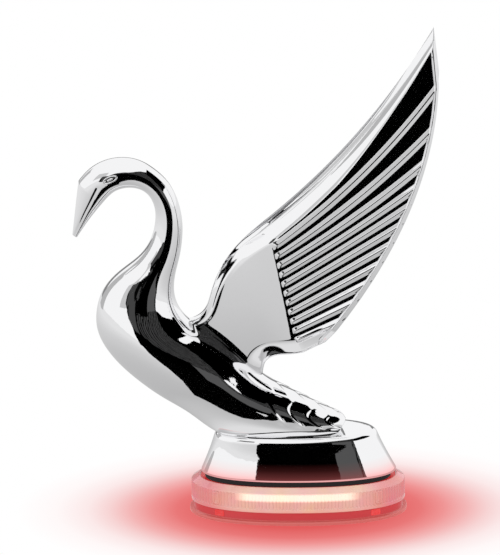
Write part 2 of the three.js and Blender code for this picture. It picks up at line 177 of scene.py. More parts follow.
def face_outwards(piece):
    """Turns the faces round if the closed mesh has a negative volume."""
    mesh = piece.data
    co = np.zeros(len(mesh.vertices) * 3)
    mesh.vertices.foreach_get("co", co)
    co = co.reshape(-1, 3)
    mesh.calc_loop_triangles()
    tri = np.zeros(len(mesh.loop_triangles) * 3, int)
    mesh.loop_triangles.foreach_get("vertices", tri)
    a, b, c = (co[tri[i::3]] for i in range(3))
    if np.einsum("ij,ij->i", a, np.cross(b, c)).sum() < 0:
        mesh.flip_normals()
    return piece


def finish_piece(piece, material, slot, *nodes):
    """Gives a piece its material and body, and hides the CAD nodes that it stands in for; slot is not
    used.
    """
    piece.data.materials.clear()
    piece.data.materials.append(material)
    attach(piece, BODY)
    if nodes:
        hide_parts(*nodes)
    return piece


# ---------------- materials
CHROME = (0.9, 0.9, 0.91)


def new_material(name, **sockets):
    """A material and its shader, with shader values given by name (Base_Color=...)."""
    material = bpy.data.materials.new(name)
    material.use_nodes = True
    shader = material.node_tree.nodes["Principled BSDF"]
    for socket, value in sockets.items():
        shader.inputs[socket.replace("_", " ")].default_value = value
    return material, shader


def add_bump(material, shader, scale, strength, distance, detail=4.0):
    """Fine unevenness of the surface; gives back its noise for other uses."""
    nodes, links = material.node_tree.nodes, material.node_tree.links
    place = nodes.new("ShaderNodeTexCoord")
    noise = nodes.new("ShaderNodeTexNoise")
    noise.inputs["Scale"].default_value = scale
    noise.inputs["Detail"].default_value = detail
    bump = nodes.new("ShaderNodeBump")
    bump.inputs["Strength"].default_value = strength
    bump.inputs["Distance"].default_value = distance
    links.new(place.outputs["Object"], noise.inputs["Vector"])
    links.new(noise.outputs["Fac"], bump.inputs["Height"])
    links.new(bump.outputs["Normal"], shader.inputs["Normal"])
    return noise


def vary(material, shader, socket, noise, low, high):
    """Spreads a shader value between low and high with the noise."""
    ramp = material.node_tree.nodes.new("ShaderNodeMapRange")
    ramp.inputs["To Min"].default_value = low
    ramp.inputs["To Max"].default_value = high
    material.node_tree.links.new(noise.outputs["Fac"], ramp.inputs["Value"])
    material.node_tree.links.new(ramp.outputs["Result"], shader.inputs[socket])


def fill_ramp(ramp, stops):
    """Sets a ramp's stops, each a place from 0 to 1 and its (red, green, blue)."""
    elements = ramp.color_ramp.elements
    while len(elements) < len(stops):
        elements.new(0.5)
    for element, (at, colour) in zip(elements, stops):
        element.position = at
        element.color = (*colour, 1)


def mottle(material, shader, low, high, scale):
    """Lets the base colour wander between two colours."""
    nodes, links = material.node_tree.nodes, material.node_tree.links
    place = nodes.new("ShaderNodeTexCoord")
    noise = nodes.new("ShaderNodeTexNoise")
    noise.inputs["Scale"].default_value = scale
    noise.inputs["Detail"].default_value = 3
    ramp = nodes.new("ShaderNodeValToRGB")
    fill_ramp(ramp, [(0.35, low), (0.65, high)])
    links.new(place.outputs["Object"], noise.inputs["Vector"])
    links.new(noise.outputs["Fac"], ramp.inputs["Fac"])
    links.new(ramp.outputs["Color"], shader.inputs["Base Color"])


def height_ramp(material, stops):
    """A colour that depends on height: stops are [z in millimetres, red, green, blue]."""
    nodes, links = material.node_tree.nodes, material.node_tree.links
    low, high = stops[0][0], stops[-1][0]
    place = nodes.new("ShaderNodeTexCoord")
    split = nodes.new("ShaderNodeSeparateXYZ")
    scale = nodes.new("ShaderNodeMapRange")
    scale.inputs["From Min"].default_value = low * MM
    scale.inputs["From Max"].default_value = high * MM
    ramp = nodes.new("ShaderNodeValToRGB")
    fill_ramp(ramp, [((z - low) / (high - low), colour) for z, *colour in stops])
    links.new(place.outputs["Object"], split.inputs["Vector"])
    links.new(split.outputs["Z"], scale.inputs["Value"])
    links.new(scale.outputs["Result"], ramp.inputs["Fac"])
    return ramp


def span(material, source, low, high):
    """0 to 1 as the source goes from low to high, which may run downwards."""
    scale = material.node_tree.nodes.new("ShaderNodeMapRange")
    scale.interpolation_type = "SMOOTHSTEP"
    scale.inputs["From Min"].default_value = min(low, high)
    scale.inputs["From Max"].default_value = max(low, high)
    scale.inputs["To Min"].default_value = 0 if low < high else 1
    scale.inputs["To Max"].default_value = 1 if low < high else 0
    material.node_tree.links.new(source, scale.inputs["Value"])
    return scale.outputs["Result"]


def maths(material, operation, *sources):
    """The result of a maths node on the sources."""
    node = material.node_tree.nodes.new("ShaderNodeMath")
    node.operation = operation
    for socket, source in zip(node.inputs, sources):
        material.node_tree.links.new(source, socket)
    return node.outputs["Value"]


def mixed(material, factor, low, high):
    """The colour from low to high as the factor goes from 0 to 1."""
    blend = material.node_tree.nodes.new("ShaderNodeMix")
    blend.data_type = "RGBA"
    blend.inputs["A"].default_value = (*low, 1)
    blend.inputs["B"].default_value = (*high, 1)
    material.node_tree.links.new(factor, blend.inputs["Factor"])
    return blend.outputs["Result"]


def chrome_material(name="chrome_plate"):
    material, shader = new_material(name, Base_Color=(*CHROME, 1), Metallic=1.0)
    noise = add_bump(material, shader, 420, 0.5, 0.00002, detail=2.0)
    vary(material, shader, "Roughness", noise, 0.01, 0.045)
    return material


def chrome_with_painted_red_light():
    """Chrome of the foot, with the red light of the base painted onto its lowest part."""
    material = chrome_material("chrome_foot_painted_red_light")
    shader = material.node_tree.nodes["Principled BSDF"]
    links = material.node_tree.links
    # Painted red light: the base colour turns red towards the bottom of the foot.
    painted_light_tint = height_ramp(material, [
        (FOOT_BOTTOM, 0.87, 0.42, 0.42),
        (17.0, 0.89, 0.66, 0.66),
        (19.0, 0.9, 0.82, 0.82),
        (21.5, *CHROME),
    ])
    # Painted red glow: emission strongest at the bottom of the foot, fading upwards.
    painted_glow = height_ramp(material, [
        (FOOT_BOTTOM, 0.18, 0.04, 0.04),
        (17.0, 0.09, 0.02, 0.02),
        (19.0, 0.03, 0.006, 0.006),
        (21.5, 0, 0, 0),
    ])
    links.new(painted_light_tint.outputs["Color"], shader.inputs["Base Color"])
    links.new(painted_glow.outputs["Color"], shader.inputs["Emission Color"])
    shader.inputs["Emission Strength"].default_value = 1.0
    return material


def rubber_material(name, grey):
    material, shader = new_material(name, Base_Color=(grey, grey, grey, 1), Roughness=0.7)
    add_bump(material, shader, 900, 0.25, 0.0001)
    return material


def clear_material():
    """Clear polycarbonate, drawn with the red light of the base painted in: a painted glow, peach along
    the sides and pinker at the ends.

    A painted highlight, a white band along the top of the flutes in the middle of the long sides, stands
    in for the reflection of the studio light.
    """
    material, shader = new_material(
        "polycarbonate_painted_glow_and_highlight",
        Roughness=0.1,
        IOR=1.58,
        Coat_Weight=0.5,
        Coat_Roughness=0.03,
        Emission_Strength=1.0,
    )
    nodes, links = material.node_tree.nodes, material.node_tree.links
    place = nodes.new("ShaderNodeTexCoord")
    split = nodes.new("ShaderNodeSeparateXYZ")
    links.new(place.outputs["Object"], split.inputs["Vector"])
    along = maths(material, "ABSOLUTE", split.outputs["X"])
    # Painted glow of the base's red light: peach in the middle of the long sides, pinker at the ends.
    middle = span(material, along, 33 * MM, 19 * MM)
    colour = mixed(material, middle, (0.72, 0.27, 0.28), (0.80, 0.54, 0.43))
    noise = nodes.new("ShaderNodeTexNoise")
    noise.inputs["Scale"].default_value = 160
    links.new(place.outputs["Object"], noise.inputs["Vector"])
    painted_light_tint = nodes.new("ShaderNodeMix")
    painted_light_tint.data_type = "RGBA"
    painted_light_tint.blend_type = "OVERLAY"
    painted_light_tint.inputs["Factor"].default_value = 0.25
    links.new(colour, painted_light_tint.inputs["A"])
    links.new(noise.outputs["Color"], painted_light_tint.inputs["B"])
    links.new(painted_light_tint.outputs["Result"], shader.inputs["Base Color"])
    # Painted highlight: a white band along the top of the flutes in the middle of the long sides, in
    # place of the studio light's reflection.
    sides = span(material, along, 23 * MM, 17 * MM)
    above = span(material, split.outputs["Z"], 8.6 * MM, 9.6 * MM)
    below = span(material, split.outputs["Z"], 12.0 * MM, 11.4 * MM)
    painted_highlight_band = maths(material, "MULTIPLY", maths(material, "MULTIPLY", sides, above), below)
    # Painted glow: dim red emission everywhere, rising to near white in the painted highlight band.
    painted_glow = mixed(material, painted_highlight_band, (0.10, 0.03, 0.025), (0.62, 0.52, 0.42))
    links.new(painted_glow, shader.inputs["Emission Color"])
    return material


def painted_red_glow_material():
    # Painted red glow: the light of the base's LEDs, given as deep red colour and red emission in the
    # plastic.
    material, shader = new_material(
        "polycarbonate_painted_red_glow",
        Roughness=0.25,
        IOR=1.58,
        Emission_Color=(0.9, 0.02, 0.02, 1),
        Emission_Strength=0.3,
    )
    mottle(material, shader, (0.55, 0.03, 0.03), (0.7, 0.08, 0.08), 200)
    return material


def tray_material():
    """The tray's colour and emission are the base's red light painted in: a deep red painted glow at its
    wall, and paler painted light at the flange's edge.
    """
    material, shader = new_material(
        "tray_polycarbonate",
        Roughness=0.3,
        IOR=1.58,
        Emission_Color=(0.9, 0.05, 0.05, 1),
        Emission_Strength=0.15,
    )
    # Painted light: paler at the flange, deep red glow up the wall.
    ramp = height_ramp(material, [
        (0.3, 0.56, 0.17, 0.15),
        (1.4, 0.56, 0.17, 0.15),
        (2.0, 0.50, 0.035, 0.045),
        (4.5, 0.55, 0.04, 0.05),
    ])
    material.node_tree.links.new(ramp.outputs["Color"], shader.inputs["Base Color"])
    add_bump(material, shader, 300, 0.2, 0.00003)
    return material


def speckled(name, low, high, scale, **sockets):
    material, shader = new_material(name, **sockets)
    mottle(material, shader, low, high, scale)
    return material


# ---------------- swan body
# Side view from beak tip to tail: [top x, top z, underside x, underside z, half width], millimetres.
SWAN = np.array([
    [-77.1, 102.8, -75.5, 101.8, 0.9],
    [-76.3, 109.0, -72.4, 106.5, 2.0],
    [-75.4, 116.0, -69.0, 111.1, 3.1],
    [-74.5, 122.5, -66.3, 114.4, 4.0],
    [-70.2, 127.1, -63.7, 117.3, 4.6],
    [-65.2, 129.8, -61.4, 119.0, 4.9],
    [-59.4, 130.8, -58.6, 119.9, 4.9],
    [-53.6, 129.8, -55.6, 120.0, 4.8],
    [-48.0, 126.4, -52.2, 118.9, 4.7],
    [-43.6, 121.9, -49.9, 116.6, 4.6],
    [-40.6, 116.0, -48.5, 113.3, 4.5],
    [-39.0, 109.0, -48.1, 109.0, 4.6],
    [-38.9, 102.0, -49.5, 102.0, 4.9],
    [-39.9, 95.0, -54.0, 94.8, 5.7],
    [-41.5, 88.5, -61.2, 88.8, 7.2],
    [-42.2, 82.0, -66.9, 82.2, 9.0],
    [-40.6, 75.5, -69.4, 74.0, 10.9],
    [-36.8, 70.6, -68.8, 66.4, 12.6],
    [-31.8, 67.6, -64.1, 58.1, 13.8],
    [-26.0, 63.8, -56.8, 50.6, 14.4],
    [-19.6, 58.2, -47.8, 43.6, 14.2],
    [-13.2, 51.5, -38.6, 37.6, 13.2],
    [-4.9, 46.0, -30.0, 30.8, 11.8],
    [3.3, 41.7, -20.0, 26.6, 10.0],
    [10.2, 38.2, -8.0, 25.6, 8.2],
    [15.5, 35.6, 4.0, 26.0, 6.4],
    [17.0, 33.8, 12.6, 27.2, 4.4],
])
BROW = 3  # station where the beak meets the forehead at a crease
SWAN_RINGS = 520
SWAN_POINTS = 240


def swan_knots():
    """Distances along the swan to each row of its table."""
    steps = np.linalg.norm(np.diff(SWAN[:, :2], axis=0), axis=1)
    steps += np.linalg.norm(np.diff(SWAN[:, 2:4], axis=0), axis=1)
    return np.concatenate([[0], np.cumsum(steps / 2)])


def swan_sections(knots, along):
    """Middle, half height vector (x, z) and half width of the swan's sections."""
    under = Spline(knots, SWAN[:, 2:])(along)
    rest = Spline(knots[BROW:], SWAN[BROW:, :2])(along)
    beak = Spline(knots[: BROW + 1], SWAN[: BROW + 1, :2])(along)
    top = np.where(along[:, None] < knots[BROW], beak, rest)
    middle = (top + under[:, :2]) / 2
    return middle, (top - under[:, :2]) / 2, under[:, 2]


MOUTH = np.array([[-76.4, 102.6], [-72.2, 111.8], [-67.7, 121.0]])
MOUTH_WIDTH, MOUTH_DEPTH = 0.55, 0.18
TAIL_START, TAIL_END = -11, 17.5
TAIL_FEATHER, TAIL_LIFT = 6.6, 0.42  # length of each row of feathers, and how far its edge stands up


def groove(points, line, width, depth):
    """A sunk line on the swan's sides, laid out in side view."""
    away = distance_to(points[..., [0, 2]], line)
    return -depth * np.exp(-((away / width) ** 2))


def tail_feathers(points, turned):
    """Overlapping scale edges over the top of the tail; turned is the angle from the top.

    Each row of feathers is swept back down the sides and has a scalloped edge.
    """
    x, turned = points[..., 0], np.abs(turned)
    scallop = 1.5 * np.cos(2 * math.pi * turned / 0.9)
    sweep = 4.5 * turned
    along = (x - TAIL_START - sweep + scallop) / TAIL_FEATHER
    lift = along - np.floor(along)
    lift = lift * smooth_step(1.0, 0.72, lift)
    cover = smooth_step(TAIL_START, TAIL_START + 5, x) * smooth_step(TAIL_END, TAIL_END - 3.5, x)
    return TAIL_LIFT * lift * cover * smooth_step(1.45, 1.2, turned)


def make_swan_body(chrome):
    """Head, neck, breast and tail as one loft of oval sections."""
    knots = swan_knots()
    along = np.linspace(knots[0], knots[-1], SWAN_RINGS)
    middle, half, width = swan_sections(knots, along)
    angle = np.linspace(0, 2 * math.pi, SWAN_POINTS, endpoint=False)
    c, s = np.cos(angle), np.sin(angle)
    rings = np.zeros((SWAN_RINGS, SWAN_POINTS, 3))
    rings[:, :, 0] = middle[:, :1] + half[:, :1] * c
    rings[:, :, 1] = width[:, None] * s
    rings[:, :, 2] = middle[:, 1:] + half[:, 1:] * c
    turned = (angle + math.pi) % (2 * math.pi) - math.pi
    move = groove(rings, MOUTH, MOUTH_WIDTH, MOUTH_DEPTH)
    move *= smooth_step(0.35, 0.7, np.abs(s))
    move += tail_feathers(rings, turned)
    unit = half / np.linalg.norm(half, axis=1, keepdims=True)
    rings[:, :, 0] += move * unit[:, :1] * c
    rings[:, :, 1] += move * s
    rings[:, :, 2] += move * unit[:, 1:] * c
    body = capped_loft("swan_figure", rings)
    return finish_piece(body, chrome, "chrome", "swan_body")


# ---------------- eyes
EYE, EYE_LEAN = (-63.3, 124.4), math.radians(24)
EYE_THICKNESS = 1.2
# From the rim's outside in to the pupil's middle: [half length, half height, lift off the head].
EYE_ROWS = [
    (2.85, 1.30, -0.35), (2.8, 1.26, 0.08), (2.65, 1.12, 0.24), (2.4, 0.92, 0.22), (2.2, 0.74, 0.0),
    (2.0, 0.6, -0.12), (1.15, 0.5, -0.1), (1.0, 0.42, 0.14), (0.6, 0.26, 0.26), (0.15, 0.06, 0.3),
]


def side_of_body(body, x, z, side):
    """How far out the swan's side is at a place in side view."""
    outside, head_half = 50, 4.8
    start = Vector((x * MM, side * outside * MM, z * MM))
    hit, place, _, _ = body.ray_cast(start, Vector((0, -side, 0)))
    return place.y / MM if hit else side * head_half


def eye_row(body, side, long, short, lift):
    row = []
    for angle in np.linspace(0, 2 * math.pi, 72, endpoint=False):
        a, b = long * math.cos(angle), short * math.sin(angle)
        x = EYE[0] + a * math.cos(EYE_LEAN) - b * math.sin(EYE_LEAN)
        z = EYE[1] + a * math.sin(EYE_LEAN) + b * math.cos(EYE_LEAN)
        row.append((x, side_of_body(body, x, z, side) + side * lift, z))
    return row


def make_eyes(body, chrome):
    """Each eye is an oval rim with a domed pupil, lying on the curve of the head."""
    for side, name in ((-1, "left_eye"), (1, "right_eye")):
        rows = [eye_row(body, side, *row) for row in EYE_ROWS]
        for front in (rows[-1], rows[0]):
            rows.append([(x, y - side * EYE_THICKNESS, z) for x, y, z in front])
        finish_piece(ring_mesh(name, np.array(rows)), chrome, "chrome")


# ---------------- base ovals
SQUARENESS = 2.3  # power of the ovals' outlines; 2 would be an ellipse
TRAY_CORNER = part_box("base_tray")[1]
OVAL = (TRAY_CORNER.x / MM, TRAY_CORNER.y / MM)  # half length and half width of the base


def oval(half_x, half_y, count):
    """Points round the base's oval, evenly spaced along its edge."""
    angle = np.linspace(0, 2 * math.pi, 7201)
    power = 2 / SQUARENESS
    x = half_x * np.sign(np.cos(angle)) * np.abs(np.cos(angle)) ** power
    y = half_y * np.sign(np.sin(angle)) * np.abs(np.sin(angle)) ** power
    length = np.concatenate([[0], np.cumsum(np.hypot(np.diff(x), np.diff(y)))])
    at = np.linspace(0, length[-1], count, endpoint=False)
    return np.stack([np.interp(at, length, x), np.interp(at, length, y)], axis=1)


def oval_ring(name, profile, count, shape=None):
    """A closed ring round the base's oval, from a closed profile of [inset, z].

    Shape, if given, is a function that bends the rings before they are joined.
    """
    rings = []
    for inset, z in profile:
        row = oval(OVAL[0] - inset, OVAL[1] - inset, count)
        rings.append(np.column_stack([row, np.full(count, z)]))
    rings = np.array(rings)
    if shape is not None:
        rings = shape(rings)
    return ring_mesh(name, rings)


def rounded(profile, radius, steps=4):
    """The closed profile with its corners rounded by quadratic arcs."""
    out = []
    n = len(profile)
    points = np.array(profile, float)
    for i in range(n):
        here, before, after = points[i], points[i - 1], points[(i + 1) % n]
        r = min(radius, np.linalg.norm(before - here) * 0.45, np.linalg.norm(after - here) * 0.45)
        a = here + (before - here) / np.linalg.norm(before - here) * r
        b = here + (after - here) / np.linalg.norm(after - here) * r
        for t in np.linspace(0, 1, steps):
            out.append((1 - t) ** 2 * a + 2 * t * (1 - t) * here + t**2 * b)
    return out


# ---------------- foot
FOOT_BOTTOM, FOOT_TOP = 15.2, 30.2
FOOT_BOTTOM_HALF, FOOT_TOP_HALF = np.array([34.2, 14.1]), np.array([27.9, 11.5])
FOOT_SHIFT = (0.3, -0.6)  # x of the middle at the bottom and at the top
FOOT_EDGE, FOOT_WALL, FOOT_ROOF = 1.8, 2.6, 3.0  # radius of the top edge, and thicknesses
FOOT_HOLLOW = 0.3  # how far the flank curves in, halfway up


def foot_outline():
    """The foot's section: [inset from the flank, height, share of the way out from the middle]."""
    shoulder, ceiling = FOOT_TOP - FOOT_EDGE, FOOT_TOP - FOOT_ROOF
    outline = [(0.0, z, 1.0) for z in np.linspace(FOOT_BOTTOM, shoulder, 20)]
    for a in np.linspace(0, math.pi / 2, 10)[1:]:
        outline.append((FOOT_EDGE * (1 - math.cos(a)), shoulder + FOOT_EDGE * math.sin(a), 1.0))
    outline += [(FOOT_EDGE, FOOT_TOP, share) for share in np.linspace(1, 0.02, 12)[1:]]
    outline += [(FOOT_WALL, ceiling, share) for share in np.linspace(0.02, 1, 8)]
    outline += [(FOOT_WALL, z, 1.0) for z in np.linspace(ceiling - 0.4, FOOT_BOTTOM, 8)]
    outline.append((0.4, FOOT_BOTTOM, 1.0))
    return outline


def make_foot(chrome):
    """The flared oval foot, open underneath."""
    count = 320
    rings = []
    for inset, z, share in foot_outline():
        up = np.clip((z - FOOT_BOTTOM) / (FOOT_TOP - FOOT_BOTTOM), 0, 1)
        hollow = FOOT_HOLLOW * math.sin(math.pi * up)
        half = FOOT_BOTTOM_HALF + (FOOT_TOP_HALF - FOOT_BOTTOM_HALF) * up - hollow - inset
        row = oval(half[0], half[1], count) * share
        row[:, 0] += FOOT_SHIFT[0] + (FOOT_SHIFT[1] - FOOT_SHIFT[0]) * up
        rings.append(np.column_stack([row, np.full(count, z)]))
    foot = ring_mesh("swan_foot", np.array(rings))
    return finish_piece(foot, chrome, "chrome", "swan_body")


# ---------------- wings
# Lines run along the wing: 0 is the leading edge, 1 to RIBS are the ribs, LAST_LINE is the rear edge.
RIBS = 11
LAST_LINE = RIBS + 1
TIP = np.array([48.9, 175.4])
LOWER_CORNER_Z = 64.6
PANEL_START = np.array([-10.8, 105.6])
HEEL_START = np.array([2.6, 60.7])
FIRST_RIB_START, LAST_RIB_START = np.array([-6.6, 101.0]), np.array([0.2, 66.5])
LAST_RIB_END_Z, RIB_END_STEP = 74.9, 7.0
RIB_SAG = 4.2  # how far the lines near the leading edge bow out
TRAIL_X, TRAIL_Z, TRAIL_BEND = 50.7, 164, 0.00408  # the trailing edge's rearmost place, and its bend
ROOT_FRONT = [
    [-38.8, 70.6], [-35.8, 71.1], [-32.2, 73.6], [-29.6, 79.8],
    [-26.2, 88.6], [-20.4, 97.0], PANEL_START,
]
ROOT_REAR = [[-14.0, 46.5], [-11.9, 51.0], [-10.7, 55.4], [-7.6, 58.2], [-2.6, 59.6], HEEL_START]
ROOT_LINE = [[-38.8, 70.6], [-35.0, 66.0], [-27.5, 60.0], [-20.0, 54.0], [-14.0, 46.5]]
PLATE = 2.2  # thickness of the wing
RIB_HALF, RIB_SLOPE = 1.5, 0.46
RIB_SHARE = 0.34  # a rib's half width, at most, as a share of the pitch
RIB_SHARPNESS = 0.13  # radius of the crest as a share of the rib's half width
RIB_START = 1.5  # length of the rounded start
FLARE_DEPTH, FLARE_SLOPE = 9.4, 0.25
FLARE_TURN = 2.5  # half the width over which the flare turns into the flat feathered part
RIB_STARTS_LEAN = 0.197  # how far the row of rib starts leans forward for each millimetre up
TIP_NARROWING = 1.4
# Tables of [height, value] up the wing.
CREST = np.array([[60, 2.4], [92, 2.4], [106, 4.6], [125, 5.0], [175, 6.5]])  # depth of the leading edge
NOSE = np.array([  # width of the leading edge's rounding
    [66, 2.5], [90, 4.0], [112, 5.6], [124, 5.6], [140, 3.6], [150, 2.6], [165, 1.8], [175, 1.3],
])
RIM = np.array([[65, 2.0], [110, 1.7], [150, 1.1], [175, 0.8]])  # width of the trailing rim


def up_table(table, height):
    """A table's value at a height."""
    return np.interp(height, table[:, 0], table[:, 1])


def trailing_x(z):
    return TRAIL_X - TRAIL_BEND * (z - TRAIL_Z) ** 2


def line_start(k):
    """Where line k starts, in side view."""
    k = np.asarray(k, float)[..., None]
    low = PANEL_START + (FIRST_RIB_START - PANEL_START) * k
    mid = FIRST_RIB_START + (LAST_RIB_START - FIRST_RIB_START) * (k - 1) / (RIBS - 1)
    high = LAST_RIB_START + (HEEL_START - LAST_RIB_START) * (k - RIBS)
    return np.where(k < 1, low, np.where(k > RIBS, high, mid))


def line_end(k):
    """Where line k ends, on the trailing edge; the ends stand further apart near the tip."""
    k = np.asarray(k, float)
    m = RIBS - np.clip(k, 1, RIBS)
    z = LAST_RIB_END_Z + RIB_END_STEP * m + 1.6 * np.maximum(0, m - 7) ** 2
    z = np.where(k > RIBS, LAST_RIB_END_Z + (LOWER_CORNER_Z - LAST_RIB_END_Z) * (k - RIBS), z)
    end = np.stack([trailing_x(z), z], axis=-1)
    towards_tip = np.clip(1 - k, 0, 1)[..., None]
    return end + (TIP - end) * towards_tip


def feather_points(u, k):
    """The feathered part: u runs from the rib starts to the trailing edge, k across the ribs."""
    start, end = line_start(k), line_end(k)
    chord = end - start
    sag = 4 * u * (1 - u) * RIB_SAG * np.maximum(0, 1 - k / 7) ** 2
    across = np.stack([chord[..., 1], -chord[..., 0]], axis=-1)
    across /= np.linalg.norm(across, axis=-1, keepdims=True)
    return start + chord * u[..., None] + across * sag[..., None]


def root_points(u, k):
    """The smooth root, blended between its four edges."""
    front, rear, low = spline_through(ROOT_FRONT), spline_through(ROOT_REAR), spline_through(ROOT_LINE)
    v = (k / LAST_LINE)[..., None]
    w = u[..., None]
    ends = [front(0.0), rear(0.0), line_start(0.0), line_start(float(LAST_LINE))]
    inner_ends = (1 - v) * ends[0] + v * ends[1]
    outer_ends = (1 - v) * ends[2] + v * ends[3]
    edges = front(u) * (1 - v) + rear(u) * v + low(k / LAST_LINE) * (1 - w) + line_start(k) * w
    return edges - (1 - w) * inner_ends - w * outer_ends


def plate_depth(points):
    """How far the wing's smooth outer face stands from the middle plane.

    It flares from the neck back to the rib starts and to the foot of the broad leading band, is flat
    across the feathers, and draws in again towards the tip. The root is a little crowned.
    """
    x, z = points[..., 0], points[..., 1]
    up = z - FIRST_RIB_START[1]
    starts_x = FIRST_RIB_START[0] - RIB_STARTS_LEAN * up
    band_x = -11 + 1.05 * up - 0.0042 * up**2
    behind = x - np.maximum(starts_x, band_x)
    rise = np.clip(behind, -FLARE_TURN, FLARE_TURN)
    turning = rise * 0.5 - rise**2 / (4 * FLARE_TURN)
    depth = FLARE_DEPTH + FLARE_SLOPE * (np.minimum(behind + FLARE_TURN, 0) + turning)
    depth += 0.0008 * np.clip(-behind - FLARE_TURN, 0, 40) ** 2
    depth -= 0.002 * (z - 86) ** 2 * smooth_step(2, 14, -behind)
    return depth - TIP_NARROWING * smooth_step(118, 176, z)


def rib_relief(off_line, pitch, from_start):
    """Rounded-triangle ribs of one slope, with flat valleys between them."""
    half = np.minimum(RIB_HALF, RIB_SHARE * pitch)
    t = off_line * pitch / half
    ridge = math.sqrt(1 + RIB_SHARPNESS**2) - np.sqrt(t**2 + RIB_SHARPNESS**2)
    ridge = 0.5 * (ridge + np.sqrt(ridge**2 + 0.004)) - 0.5 * 0.03 * np.clip(t, 0, 1)
    ridge = ridge * smooth_step(1.25, 1.0, t)
    begins = np.clip(from_start / RIB_START, 0, 1)
    return RIB_SLOPE * half * np.maximum(ridge, 0) * np.sqrt(begins * (2 - begins))


def line_numbers():
    """Places across the lines, closer together at the leading and rear edges."""
    per_line, border = 24, 4
    k = np.linspace(0, LAST_LINE, LAST_LINE * per_line + 1)
    ease = np.linspace(0, 1, 15) ** 1.6
    first = k[border] * ease[:-1]
    last = k[-1] - (k[-1] - k[-border - 1]) * ease[::-1]
    return np.concatenate([first, k[border : -border - 1], last])


def wing_edges():
    """The leading, rear and trailing edges as lines in side view."""
    along = np.linspace(0, 1, 60)
    first, last = np.zeros(60), np.full(60, float(LAST_LINE))
    leading = np.concatenate([root_points(along, first), feather_points(along, first)])
    rear = np.concatenate([root_points(along, last), feather_points(along, last)])
    trailing = feather_points(np.ones(160), np.linspace(LAST_LINE, 0, 160))
    return leading, rear, trailing


class WingGrid:
    """The wing's points in side view, in rows from the root to the trailing edge.

    Each point also has its height, its line number, its distances from the line's start and from the
    three edges, and the pitch of the lines there.
    """

    def __init__(self):
        root_rows, feather_rows = 60, 190
        k = line_numbers()
        u_root = np.linspace(0, 1, root_rows)
        u_feather = 1 - (1 - np.linspace(0, 1, feather_rows)) ** 1.15
        u1, k1 = np.meshgrid(u_root, k, indexing="ij")
        u2, k2 = np.meshgrid(u_feather[1:], k, indexing="ij")
        self.points = np.concatenate([root_points(u1, k1), feather_points(u2, k2)])
        self.height = self.points[..., 1]
        self.line = np.concatenate([k1, k2])
        start, end = line_start(self.line), line_end(self.line)
        chord = np.linalg.norm(end - start, axis=-1)
        self.from_start = np.concatenate([u1 * 0 - 1, u2]) * chord
        step = np.gradient(self.points, k, axis=1)
        run = (end - start) / chord[..., None]
        self.pitch = np.abs(step[..., 0] * run[..., 1] - step[..., 1] * run[..., 0])
        leading, rear, trailing = wing_edges()
        self.from_lead = distance_to(self.points, leading)
        self.from_rear = distance_to(self.points, rear)
        self.from_trail = distance_to(self.points, trailing)


def outer_relief(grid):
    """What stands up from the smooth outer face: ribs, trailing rim and a bead by the leading edge."""
    off_line = np.abs(grid.line - np.clip(np.round(grid.line), 1, RIBS))
    ribs = rib_relief(off_line, grid.pitch, grid.from_start)
    rim_width = up_table(RIM, grid.height)
    rim = 0.85 - 0.3 * (rim_width - grid.from_trail)
    rim *= smooth_step(rim_width + 0.55, rim_width, grid.from_trail) * smooth_step(0.0, 0.8, grid.line)
    bead = 0.35 * np.exp(-(((grid.from_lead - 2.2) / 0.7) ** 2)) * smooth_step(104, 92, grid.height)
    return np.maximum(ribs, rim) + bead


def wing_faces(grid):
    """Depths of the wing's outer and inner faces, which meet in rounded edges."""
    rear_reach = np.clip(7 - grid.from_rear, 0, 7)
    depth = plate_depth(grid.points) - 0.45 * (np.sqrt(rear_reach**2 + 1) - 1)
    outer = depth + outer_relief(grid)
    crest = up_table(CREST, grid.height)
    t = np.clip(grid.from_lead / up_table(NOSE, grid.height), 0, 1)
    outer = crest + (outer - crest) * (1 - (1 - t) ** 2.2)

    edge = np.minimum(grid.from_rear, grid.from_trail)
    rounding = np.where(grid.from_rear < grid.from_trail, 1.5, 0.6)
    t = np.clip(edge / rounding, 0, 1)
    round_off = np.sqrt(1 - (1 - t) ** 2)
    middle = depth - PLATE / 2
    outer = middle + (outer - middle) * round_off
    inner = middle - PLATE / 2 * round_off

    t = np.clip(grid.from_lead / 1.6, 0, 1)
    inner = crest + (np.minimum(inner, crest + 4) - crest) * np.sqrt(1 - (1 - t) ** 2)
    bead = np.sin(math.pi * np.clip(grid.from_lead / 6.5, 0, 1)) * smooth_step(84, 100, grid.height)
    inner = np.maximum(inner - 1.7 * bead, 0.2)
    return np.maximum(outer, inner + 0.02), inner


def sheet_faces(rows, columns):
    """Faces of two matching sheets of points, the second turned over, and the band between them."""
    n = rows * columns
    faces = grid_faces(rows, columns, wrap_columns=False)
    faces += [tuple(reversed(f)) for f in grid_faces(rows, columns, wrap_columns=False, offset=n)]
    border = list(range(columns))
    border += [i * columns + columns - 1 for i in range(1, rows)]
    border += [(rows - 1) * columns + j for j in range(columns - 2, -1, -1)]
    border += [i * columns for i in range(rows - 2, 0, -1)]
    faces += [(b, a, a + n, b + n) for a, b in zip(border, border[1:] + border[:1])]
    return faces


def make_wing(name, side, chrome):
    """One wing; side is -1 for the left one and 1 for the right one."""
    grid = WingGrid()
    x, z = grid.points[..., 0], grid.points[..., 1]
    sheets = [np.stack([x, side * y, z], axis=-1).reshape(-1, 3) for y in wing_faces(grid)]
    wing = face_outwards(new_object(name, np.concatenate(sheets) * MM, sheet_faces(*x.shape)))
    return finish_piece(wing, chrome, "chrome", name.replace("_casting", ""))


